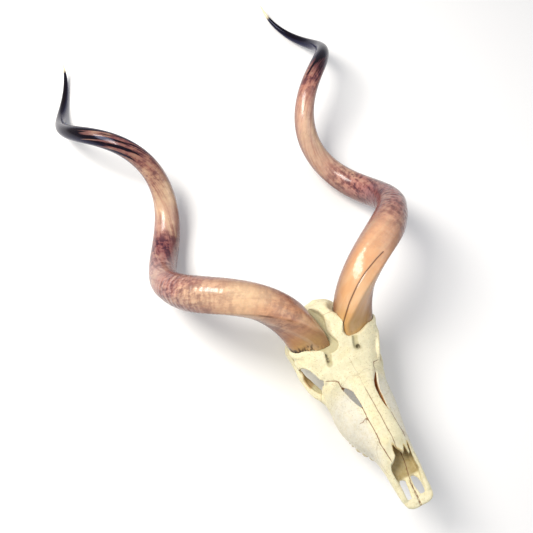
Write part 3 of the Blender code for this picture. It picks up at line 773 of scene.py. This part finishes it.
def node(tree, kind, inputs=(), out=0, stops=(), **settings):
    """Adds a node: its settings, its inputs, and the stops of its ramp, of colours or of numbers. Gives
    the output socket asked for."""
    made = tree.nodes.new("ShaderNode" + kind)
    for name, value in settings.items():
        setattr(made, name, value)
    set_inputs(tree, made, inputs)
    for k, (position, value) in enumerate(stops):
        ramp = made.color_ramp.elements
        stop = ramp[k] if k < 2 else ramp.new(position)
        stop.position = position
        stop.color = linear(value) if isinstance(value, str) else (value, value, value, 1)
    return made.outputs[out]


def new_material(name):
    """A material with its node tree and its shader."""
    made = bpy.data.materials.new(name)
    made.use_nodes = True
    return made, made.node_tree, made.node_tree.nodes["Principled BSDF"]


# Bone: hydroxyapatite and collagen, bleached. It is matt and chalky with a faint warmth from light
# that goes into it, fine pores 0.3 mm across, and grain along the muzzle. The pores are drawn about
# 2 mm apart and 0.8 mm wide, since finer ones would not show.
bleached_bone, tree, shader = new_material("bleached_bone")
place = node(tree, "Attribute", out="Vector", attribute_name="own")
seam_gap, seam_dark, painted_pit_shade, nose, socket, groove, cheek = (
    node(tree, "Attribute", out="Fac", attribute_name=name)
    for name in ("seam", "seam_strength", "pit", "in_nose_film_and_shade", "socket_stain_and_shadow", "painted_groove_shade", "cheek")
)
broad = node(tree, "TexNoise", {"Vector": place, "Scale": 1 / 34, "Detail": 4.0, "Roughness": 0.6})
fine = node(tree, "TexNoise", {"Vector": place, "Scale": 1 / 6, "Detail": 5.0, "Roughness": 0.65})
tone = node(tree, "ValToRGB", (broad,), stops=((0.3, "#d6d0ad"), (0.5, "#e2dbba"), (0.7, "#e6dcb2")))
pale = node(tree, "ValToRGB", (broad,), stops=((0.3, "#cbc7b8"), (0.5, "#dad6c6"), (0.7, "#dfd9c4")))
mottle = node(tree, "MapRange", (fine, 0.44, 0.72, 0.0, 0.45))
# small brown specks where the surface has weathered, some 2 mm across
speck = node(tree, "TexNoise", {"Vector": place, "Scale": 0.42, "Detail": 2.0, "Roughness": 0.5})
speck = node(tree, "MapRange", (speck, 0.62, 0.7, 0.0, 0.55))
# brown film inside the nose, partly stain and partly painted shade, browner far in; thinner in the eye
# sockets, partly stain and partly painted shadow; and olive painted shade in the grooves and in the trough
patches = node(tree, "MapRange", (fine, 0.3, 0.7, 0.75, 1.0))
nose_film_and_shade = node(tree, "Math", (patches, nose), operation="MULTIPLY")
back = node(tree, "SeparateXYZ", (place,), out="Y")
deep = node(tree, "MapRange", (back, 40.0, 170.0, 0.0, 1.0))
brown = node(tree, "ValToRGB", (deep,), stops=(
    (0.12, "#a28d5a"), (0.28, "#b39e68"), (0.5, "#dcc68c"), (0.9, "#f0b068"),
))
socket_film_and_shadow = node(tree, "Math", (socket, 0.7), operation="MULTIPLY")
groove_and_trough_shade = node(tree, "Math", (groove, 0.75), operation="MULTIPLY")
# sutures hold a little brown; they are drawn 1.7 mm wide, since finer ones would not show
line = node(tree, "Math", (seam_gap,), operation="ABSOLUTE")
line = node(tree, "MapRange", (line, 0.5, 1.2, 1.0, 0.0))
line = node(tree, "Math", (line, seam_dark), operation="MULTIPLY")
patches = node(tree, "MapRange", (fine, 0.35, 0.55, 0.7, 1.0))
line = node(tree, "Math", (line, patches), operation="MULTIPLY")
cells = node(tree, "TexVoronoi", {"Vector": place, "Scale": 1 / 2.2}, out="Distance")
pore = node(tree, "MapRange", (cells, 0.1, 0.24, 1.0, 0.0))
where_porous = node(tree, "MapRange", (broad, 0.5, 0.62, 0.0, 1.0))
pore = node(tree, "Math", (pore, where_porous), operation="MULTIPLY")
faint = node(tree, "Math", (pore, 0.4), operation="MULTIPLY")
# the colours laid over the bone's own, from the deepest up: how strongly, and which
for amount, colour in (
    (cheek, pale), (mottle, "#c8bb90"), (speck, "#9c8558"), (nose_film_and_shade, brown), (socket_film_and_shadow, "#c09a66"),
    (groove_and_trough_shade, "#a39a72"), (line, "#7c5436"), (painted_pit_shade, "#4a3825"), (faint, "#b79c6e"),
):
    tone = node(tree, "Mix", {0: amount, 6: tone, 7: colour}, out=2, data_type="RGBA")
grain = node(tree, "Mapping", {"Vector": place, "Scale": (1.6, 0.25, 1.6)})
fibres = node(tree, "TexNoise", {"Vector": grain, "Scale": 1.0, "Detail": 3.0, "Roughness": 0.6})
height = node(tree, "Math", (fibres, 0.25), operation="MULTIPLY")
height = node(tree, "Math", (fine, 0.6, height), operation="MULTIPLY_ADD")
height = node(tree, "Math", (pore, -0.5, height), operation="MULTIPLY_ADD")
set_inputs(tree, shader, {
    "Base Color": tone,
    "Roughness": node(tree, "MapRange", (fine, 0.3, 0.7, 0.5, 0.68)),
    "Specular IOR Level": 0.4,
    "Subsurface Weight": 0.06,
    "Subsurface Radius": (0.004, 0.0025, 0.0015),
    "Subsurface Scale": 1.0,
    "Normal": node(tree, "Bump", {"Height": height, "Strength": 0.8, "Distance": 0.0016}),
})
mesh.materials.append(bleached_bone)
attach(cranium, "root")
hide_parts("skull")


# Twelve upper cheek teeth, six a side, each set in its own socket. Enamel folded into crescents
# round softer dentine, ground flat by grass and stained brown in the folds and at the neck.

# Name, x, y, length, width, height, lobes and turn in degrees
TEETH = (
    ("premolar_2", 25.5, 127.0, 11.5, 10.0, 11.5, 1, 22),
    ("premolar_3", 31.5, 140.5, 13.0, 12.5, 12.5, 1, 24),
    ("premolar_4", 37.0, 154.5, 13.0, 14.0, 13.0, 1, 18),
    ("molar_1", 40.0, 171.0, 17.0, 15.5, 13.0, 2, 8),
    ("molar_2", 41.2, 190.5, 19.0, 16.5, 13.5, 2, 2),
    ("molar_3", 41.5, 211.5, 20.5, 16.0, 13.7, 2, -1),
)
# z of the teeth's necks, and how far the crowns lean out towards the cheek
TOOTH_TOP = 13.7
TOOTH_LEAN = 1.2
AROUND, DOWN, INWARD = ((120, 18, 20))


def tooth_form(length, width, height, lobes):
    """Rows from the neck down the crown, over the worn edge and in to the middle of the worn face. The
    outline is a squared ellipse with a waist between its lobes and ribs down its cheek side; inward it
    shrinks, cups, and rises and falls where the crescents of enamel lie."""
    round_it = np.linspace(0, 2 * np.pi, AROUND, endpoint=False)
    along, across = np.cos(round_it), np.sin(round_it)
    reach = (np.abs(along) ** 3.2 + np.abs(across) ** 3.2) ** (-1 / 3.2)
    u = along * reach
    waist = 1 - 0.16 * (lobes - 1) * bell(u, 0, 0.22)
    middles = (-0.5, 0.5) if lobes == 2 else (0.0,)
    ribs = 0.15 * sum(bell(u, m, 0.15) for m in middles) * (across > 0) - 0.05 * bell(np.abs(u), 0.93, 0.05)
    side_x = across * reach * waist * (1 + ribs) * width / 2
    side_y = u * length / 2
    down = np.linspace(0, 1, DOWN)[:, None]
    share = 0.95 + 0.05 * np.sin(np.pi * down ** 0.8) * 0.9 + 0.02 * down
    crown = np.stack(np.broadcast_arrays(
        side_x * share + TOOTH_LEAN * down, side_y * share, TOOTH_TOP - height * down + 0 * side_x,
    ), -1)
    # the worn face, from its edge inward
    ring = 1 - (np.arange(1, INWARD) / INWARD)[:, None]
    x, y = side_x * ring * 0.97 + TOOTH_LEAN, side_y * ring * 0.97
    crescent = 0
    for m in middles:
        for cusp in (-1, 1):
            reach = np.hypot(x - TOOTH_LEAN - cusp * width * 0.2, (y - m * length / 2) * 0.9)
            crescent = crescent + bell(reach, width * 0.17, 0.7)
    hollow = 1.5 * (1 - ring ** 3) - 0.7 * np.clip(crescent, 0, 1) - 0.5 * bell(ring, 1, 0.08)
    face = np.stack((x, y, TOOTH_TOP - height + 0.4 + hollow), -1)
    stain = np.concatenate((
        climb(down, 0.3, 0) * 0.8 + 0 * side_x,
        np.clip(1 - crescent, 0, 1) * climb(ring, 1, 0.85),
    ))
    return np.concatenate((crown, face)), stain


# Enamel: dense mineral, glassy and smooth, cream. Brown tartar lies at the neck and in the folds.
stained_enamel, tree, shader = new_material("stained_tooth_enamel")
place = node(tree, "Attribute", out="Vector", attribute_name="own")
stain_amount = node(tree, "Attribute", out="Fac", attribute_name="stain")
blotch = node(tree, "TexNoise", {"Vector": place, "Scale": 1 / 3, "Detail": 4.0})
amount = node(tree, "MapRange", (blotch, 0.3, 0.7, 0.25, 1.0))
amount = node(tree, "Math", (stain_amount, amount), operation="MULTIPLY")
tone = node(tree, "ValToRGB", (blotch,), stops=((0.35, "#d8ccab"), (0.7, "#c4b184")))
set_inputs(tree, shader, {
    "Base Color": node(tree, "Mix", {0: amount, 6: tone, 7: "#7d5f38"}, out=2, data_type="RGBA"),
    "Roughness": node(tree, "MapRange", (amount, 0.0, 1.0, 0.25, 0.6)),
    "IOR": 1.62,
    "Normal": node(tree, "Bump", {"Height": blotch, "Strength": 0.3, "Distance": 0.0005}),
})


def closed_sheet(name, form, marks):
    """A piece from rows of points that each close on themselves, the first and last row drawn to one
    point at their middle. marks holds numbers or vectors for the material, one for each point."""
    rows, columns = form.shape[:2]
    poles = rows * columns
    row, column = np.mgrid[0:rows - 1, 0:columns]
    here, after = row * columns + column, row * columns + (column + 1) % columns
    quads = np.stack((here, after, after + columns, here + columns), -1).reshape(-1, 4)
    first = np.stack((after[0], here[0], np.full(columns, poles)), -1)
    last = np.stack((here[-1] + columns, after[-1] + columns, np.full(columns, poles + 1)), -1)
    points = np.vstack((form.reshape(-1, 3), form[0].mean(0), form[-1].mean(0)))
    made = new_piece(name, points, quads, np.vstack((first, last)))
    for mark, values in marks.items():
        width = values.shape[2:]
        ends = np.stack((values[0].mean(0), values[-1].mean(0))).reshape(2, *width)
        values = np.concatenate((values.reshape(-1, *width), ends))
        write_attribute(made.data, mark, "FLOAT_VECTOR" if width else "FLOAT", values)
    return made


for name, tooth_x, tooth_y, length, width, height, lobes, turn in TEETH:
    form, stain = tooth_form(length, width, height, lobes)
    cos, sin = np.cos(np.radians(turn)), np.sin(np.radians(turn))
    x, y, z = np.moveaxis(form, -1, 0)
    set_in = np.stack((tooth_x + x * cos + y * sin, tooth_y - x * sin + y * cos, z), -1)
    for side, word in ((1, "left"), (-1, "right")):
        own = set_in * (side, 1, 1)
        tooth = closed_sheet(f"{word}_{name}_tooth", own, {"own": own, "stain": stain})
        tooth.data.materials.append(stained_enamel)
        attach(tooth, "root")
        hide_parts(f"{word}_{name}")


# The two horn sheaths: hollow keratin, slipped over the bony roots, each wound in just under two turns
# with one sharp keel. Scraped, sanded and polished until the dark and pale streaks show.

HORN_ROWS, HORN_COLUMNS = ((690, 138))
# The horn's radius near the rim, which turns an angle off the keel into millimetres
KEEL_RADIUS = 38
# The crack beside the left horn's keel: s, and the angle off the keel
CRACK = (
    (-0.01, 0.17), (0.003, 0.19), (0.03, 0.34), (0.052, 0.43), (0.074, 0.48), (0.1, 0.46), (0.112, 0.42),
)


def horn_skin(s, offset, side):
    """Points of the left horn's surface by s and the angle off the keel. The radius is horn_radius plus
    waves of growth 9.5 mm apart across the lower bends, broken up by noise, and less the left horn's
    crack, or for the right horn's shape a broken scrape along the keel."""
    centre, _, outward, keel = horn_directions(s)
    around = np.stack((30 * np.cos(offset), 30 * np.sin(offset) + 500 * side, s * HORN_ARC), -1)
    zone = bell(s, 0.25, 0.075) + 0.35 * bell(s, 0.12, 0.05)
    rings = np.sin(2 * np.pi * (s * HORN_ARC / 9.5 + 0.5 * swelling(around, 22, 21)))
    relief = zone * (0.32 * rings + 0.3 * swelling(around * (1, 1, 3), 13, 22))
    relief = relief + 0.3 * swelling(around, 45, 23) * (1 - np.clip(s, 0, 1))
    if side == 1:
        crack = bell(offset * KEEL_RADIUS, np.interp(s, *zip(*CRACK)) * KEEL_RADIUS, 1.3) * (s < 0.113)
    else:
        broken = np.clip(0.3 + 2 * swelling(around, 11, 24), 0, 1)
        scrape = bell((offset + 0.03) * KEEL_RADIUS, 0, 2) * np.exp(-((s - 0.085) / 0.035) ** 4)
        crack = 0.7 * broken * scrape
    radius = horn_radius(offset, s) + relief * np.clip(s / 0.03, 0, 1) - 0.8 * crack
    angle = offset + keel_angle(s)
    towards_keel, sideways = (radius * np.cos(angle))[..., None], (radius * np.sin(angle))[..., None]
    return centre + towards_keel * keel + sideways * outward, crack


def horn_form(side):
    """The rows of one horn, with s, the angle off the keel and the crack at each point. A column starts
    where the surface leaves the seat plane and ends at the tip, and the columns crowd towards the keel.
    Two smaller rings close the cut end."""
    even = np.linspace(-np.pi, np.pi, HORN_COLUMNS, endpoint=False)
    column = even - 0.55 * np.sin(even)
    trial = np.linspace(-0.06, 0.14, 401)[:, None] + 0 * column
    above = (horn_skin(trial, column + 0 * trial, side)[0] - seat_point) @ seat_normal
    last = len(trial) - 1 - np.argmax(above[::-1] < 0, axis=0)
    k = np.arange(HORN_COLUMNS)
    low, high = above[last, k], above[last + 1, k]
    start = trial[last, k] + (trial[1, 0] - trial[0, 0]) * low / (low - high)
    share = (np.linspace(0, 1, HORN_ROWS) ** 0.96)[:, None]
    s = start + (1 - start) * share
    offset = column + 0 * share
    form, crack = horn_skin(s, offset, side)
    rim, heart = form[:1], form[0].mean(0)
    form = np.concatenate((heart + (rim - heart) * 0.33, heart + (rim - heart) * 0.66, form))
    s, offset, crack = (np.concatenate((a[:1], a[:1], a)) for a in (s, offset, crack))
    return form * (side, 1, 1), s, offset, crack


# Keratin: hard and glassy once polished, coloured in layers along the horn. By s: peach at the rim,
# blood-brown mottling at the bends, cream between, near-black with a blue gloss, and an ivory point.
HORN_TONES = {
    "left": (
        (0.0, "#c0975f"), (0.03, "#d3a273"), (0.09, "#d8a377"), (0.14, "#d0a17f"), (0.2, "#bd8f80"),
        (0.25, "#a87270"), (0.3, "#96676a"), (0.35, "#b48075"), (0.42, "#bd9583"), (0.48, "#c0a088"),
        (0.57, "#c6a08a"), (0.62, "#b98874"), (0.67, "#6e4645"), (0.75, "#4a3038"),
    ),
    "right": (
        (0.0, "#ba925c"), (0.03, "#c69168"), (0.08, "#cd9a76"), (0.13, "#d9b590"), (0.18, "#c39f84"),
        (0.23, "#bb8f80"), (0.27, "#b08274"), (0.305, "#cba697"), (0.35, "#a57b72"), (0.4, "#7b5552"),
        (0.45, "#b48d7c"), (0.51, "#bfa286"), (0.57, "#9c7862"), (0.66, "#6a4a45"),
    ),
}
# How strong the maroon mottling is, by s
HORN_MOTTLES = {
    "left": (
        (0.03, 0.0), (0.15, 0.1), (0.19, 0.6), (0.24, 0.85), (0.3, 1.0), (0.36, 0.8), (0.42, 0.5),
        (0.46, 0.1), (0.6, 0.2), (0.65, 0.9),
    ),
    "right": (
        (0.02, 0.1), (0.06, 0.35), (0.12, 0.1), (0.18, 0.35), (0.25, 0.75), (0.29, 0.25), (0.34, 0.8),
        (0.4, 1.0), (0.44, 0.3), (0.5, 0.05), (0.56, 0.6),
    ),
}
# Where the black is half there, by s, how far its streaks run to either side, and how much sooner it
# comes on the flanks
HORN_BLACK = {"left": (0.66, 0.035, -0.03), "right": (0.645, 0.085, 0.05)}
IVORY_FROM = {"left": 0.967, "right": 0.984}


def polished_keratin(word):
    """The horn's material: a ramp along s, with painted shade on the flanks, and over it maroon mottles,
    streaks drawn out along the horn, the black end with pale streaks and a painted blue reflection on its
    flanks, the ivory point, and painted shade at the rim."""
    made, tree, shader = new_material("polished_keratin_" + word)
    course, crack, flank_shade, rim = (
        node(tree, "Attribute", out="Fac", attribute_name=name)
        for name in ("course", "crack", "flank_shade", "rim")
    )
    streak = node(tree, "Attribute", out="Vector", attribute_name="streak")
    # lengthwise streaks some 4 mm wide and 60 mm long, blotches some 12 mm across, wider clouds, wrinkles
    # across the horn, and wisps, each a noise in the streaks' own space, pulled or squeezed along the horn
    fibres, blotch, cloud, wrinkle, wisps = (
        node(tree, "TexNoise", {
            "Vector": node(tree, "Mapping", {"Vector": streak, "Scale": (across, across, along)}),
            "Scale": scale, "Detail": detail, "Roughness": rough,
        })
        for across, along, scale, detail, rough in (
            (1, 0.07, 0.13, 5.0, 0.6), (1, 1, 0.07, 8.0, 0.7), (1, 0.4, 0.035, 3.0, 0.5),
            (0.3, 1.1, 0.12, 4.0, 0.6), (1, 0.3, 0.25, 3.0, 0.6),
        )
    )
    tone = node(tree, "ValToRGB", (course,), stops=HORN_TONES[word])
    pale = node(tree, "MapRange", (cloud, 0.48, 0.66, 0.0, 0.5))
    ruddy = node(tree, "MapRange", (fibres, 0.5, 0.7, 0.0, 0.6))
    further = node(tree, "MapRange", (course, 0.1, 0.3, 0.3, 1.0))
    ruddy = node(tree, "Math", (ruddy, further), operation="MULTIPLY")
    # mottles: streaky where the fibres are dark, but in wrinkles at the first bend, each with a haze of
    # maroon round it
    bend = node(tree, "MapRange", (course, 0.27, 0.31, 0.8, 0.0))
    fibres = node(tree, "Mix", {0: bend, 2: fibres, 3: wrinkle}, data_type="FLOAT")
    amount = node(tree, "ValToRGB", (course,), stops=HORN_MOTTLES[word])
    both = node(tree, "Math", (fibres, 0.6, blotch), operation="MULTIPLY_ADD")
    haze = node(tree, "MapRange", (both, 0.62, 0.86, 0.0, 0.8))
    haze = node(tree, "Math", (haze, amount), operation="MULTIPLY")
    mottle = node(tree, "MapRange", (both, 0.74, 0.9, 0.0, 1.0))
    mottle = node(tree, "Math", (mottle, amount), operation="MULTIPLY")
    # painted shade on the flanks, which turn away from the camera
    sides = node(tree, "Math", (flank_shade, 0.75), operation="MULTIPLY")
    # the black end: s pushed to and fro by the streaks
    turns_black, spread, sooner = HORN_BLACK[word]
    pushed = node(tree, "MapRange", (fibres, 0.3, 0.7, -spread, spread))
    pushed = node(tree, "Math", (course, pushed), operation="ADD")
    pushed = node(tree, "Math", (flank_shade, sooner, pushed), operation="MULTIPLY_ADD")
    black = node(tree, "MapRange", (pushed, turns_black - 0.01, turns_black + 0.02, 0.0, 0.98))
    # on the flanks the black turns navy: a painted blue reflection
    black_with_painted_sheen = node(tree, "Mix", {0: flank_shade, 6: "#08070d", 7: "#12173a"}, out=2, data_type="RGBA")
    ivory = node(tree, "MapRange", (course, IVORY_FROM[word] - 0.004, IVORY_FROM[word] + 0.006))
    # grime in the crack, and painted shade in wisps where the rim meets the bone
    rim_shade = node(tree, "Math", (rim, 0.3, wisps), operation="MULTIPLY_ADD")
    rim_shade = node(tree, "MapRange", (rim_shade, 0.66, 0.76, 0.0, 1.0))
    rim_shade = node(tree, "Math", (rim_shade, rim), operation="MULTIPLY")
    for layer, colour in (
        (pale, "#dcc09c"), (ruddy, "#9c5f4e"), (haze, "#8a4646"), (mottle, "#35182a"), (sides, "#5e3236"),
        (black, black_with_painted_sheen), (ivory, "#f0e2bb"), (rim_shade, "#26201e"), (crack, "#4c2a20"),
    ):
        tone = node(tree, "Mix", {0: layer, 6: tone, 7: colour}, out=2, data_type="RGBA")
    # fine scratches and fibre ends left by the polishing, 0.1 mm deep
    scratched = node(tree, "Mapping", {"Vector": streak, "Scale": (1, 1, 0.02)})
    hairs = node(tree, "TexNoise", {"Vector": scratched, "Scale": 0.9, "Detail": 3.0})
    bump = node(tree, "Bump", {"Height": hairs, "Strength": 0.12, "Distance": 0.0005})
    # where it is black the gloss is weaker and bluish, or the white room would turn it grey
    set_inputs(tree, shader, {
        "Base Color": tone,
        "Roughness": node(tree, "MapRange", (blotch, 0.35, 0.7, 0.15, 0.26)),
        "Specular IOR Level": node(tree, "MapRange", (black, 0.0, 1.0, 0.4, 0.16)),
        "Specular Tint": node(tree, "Mix", {0: black, 6: "#ffffff", 7: "#8a9adf"}, out=2, data_type="RGBA"),
        "Coat Weight": 0.12,
        "Coat Roughness": 0.06,
        "Subsurface Weight": 0.08,
        "Subsurface Radius": (0.006, 0.0025, 0.0012),
        "Subsurface Scale": 1.0,
        "Normal": node(tree, "Bump", {"Height": blotch, "Strength": 0.1, "Distance": 0.002, "Normal": bump}),
    })
    return made


# The photograph's view in the skull's own frame: to its right, downwards, ahead, and the point that it
# was taken from. Painted shade darkens the horns where they turn away from this view, on the flanks and most
# on their far sides.
SIGHT = np.array((
    (0.89835, -0.43194, -0.07995), (-0.36726, -0.63865, -0.6762), (0.24102, 0.63683, -0.73237),
))
VIEWPOINT = np.array((-368.12, -329.8, 1158.89))
for side, word in ((1, "left"), (-1, "right")):
    form, s, offset, crack = horn_form(side)
    # the streaks lie in a space of their own: round a tube that narrows to the tip, and along it
    girth = 12 + 26 * (1 - np.clip(s, 0, 1))
    from_rim = (s - s[2]) * HORN_ARC
    away = form - horn_directions(s)[0] * (side, 1, 1)
    facing = away @ -SIGHT[2] / np.linalg.norm(away, axis=-1).clip(1e-6)
    # the painted shade at the rim is darkest on the right horn's inner side
    rim_shade_strength = 0.35 + 0.65 * (side == -1) * (np.abs(offset + 1.35) < 0.75)
    marks = {
        "course": s,
        "crack": crack,
        "streak": np.stack((girth * np.cos(offset), girth * np.sin(offset) + 300 * side, s * HORN_ARC), -1),
        "rim": bell(from_rim, 0, 20) * rim_shade_strength,
        # painted shade: one where the skin turns away from the camera, nought where it faces it
        "flank_shade": climb(facing, 0.82, 0.22),
    }
    horn = closed_sheet("horn_sheath_" + word, form, marks)
    horn.data.materials.append(polished_keratin(word))
    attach(horn, "root")
    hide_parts("horn_" + word)


# The studio: a white floor, a large soft light from above on the animal's right, a weaker one from
# the other side, and a camera where the photograph was taken, looking down past the right horn.

floor_mesh = bpy.data.meshes.new("floor")
floor_mesh.from_pydata([(-8, -8, 0), (8, -8, 0), (8, 8, 0), (-8, 8, 0)], [], [(0, 1, 2, 3)])
floor = linked("floor", floor_mesh)
paper, tree, shader = new_material("white_studio_paper")
set_inputs(tree, shader, {"Base Color": "#f4f4f4", "Roughness": 0.9, "Specular IOR Level": 0.1})
floor_mesh.materials.append(paper)

to_right, downward, sight = turned(SIGHT)
camera = linked("camera", bpy.data.cameras.new("camera"))
camera.data.lens = 43.2
camera.data.sensor_width = 36
frame_of_sight = np.eye(4)
frame_of_sight[:3] = np.column_stack((to_right, -downward, -sight, lying(VIEWPOINT)))
camera.matrix_world = Matrix(frame_of_sight.tolist())
bpy.context.scene.camera = camera


def soft_light(name, aside, above, back, size, watts, colour):
    """A square area light placed from the object's middle by the camera's own right, up and back, in
    metres, and turned to face the middle."""
    made = linked(name, bpy.data.lights.new(name, "AREA"))
    made.data.shape = "SQUARE"
    made.data.size = size
    made.data.energy = watts
    made.data.color = linear(colour)[:3]
    away = aside * to_right - above * downward - back * sight
    z = unit(away)
    x = unit(np.cross((0, 0, 1), z))
    place = np.eye(4)
    place[:3] = np.column_stack((x, np.cross(z, x), z, np.array((0, 0, 0.1)) + away))
    made.matrix_world = Matrix(place.tolist())


soft_light("key", -0.9, 0.7, 1.4, 0.9, 43, "#fffaf2")
soft_light("fill", 1.6, 0.3, 1.2, 1.4, 7, "#f3f6ff")

world = bpy.data.worlds.new("studio")
world.use_nodes = True
set_inputs(world.node_tree, world.node_tree.nodes["Background"], {"Color": "#fbfcff", "Strength": 0.5})
bpy.context.scene.world = world
bpy.context.scene.view_settings.view_transform = "Standard"
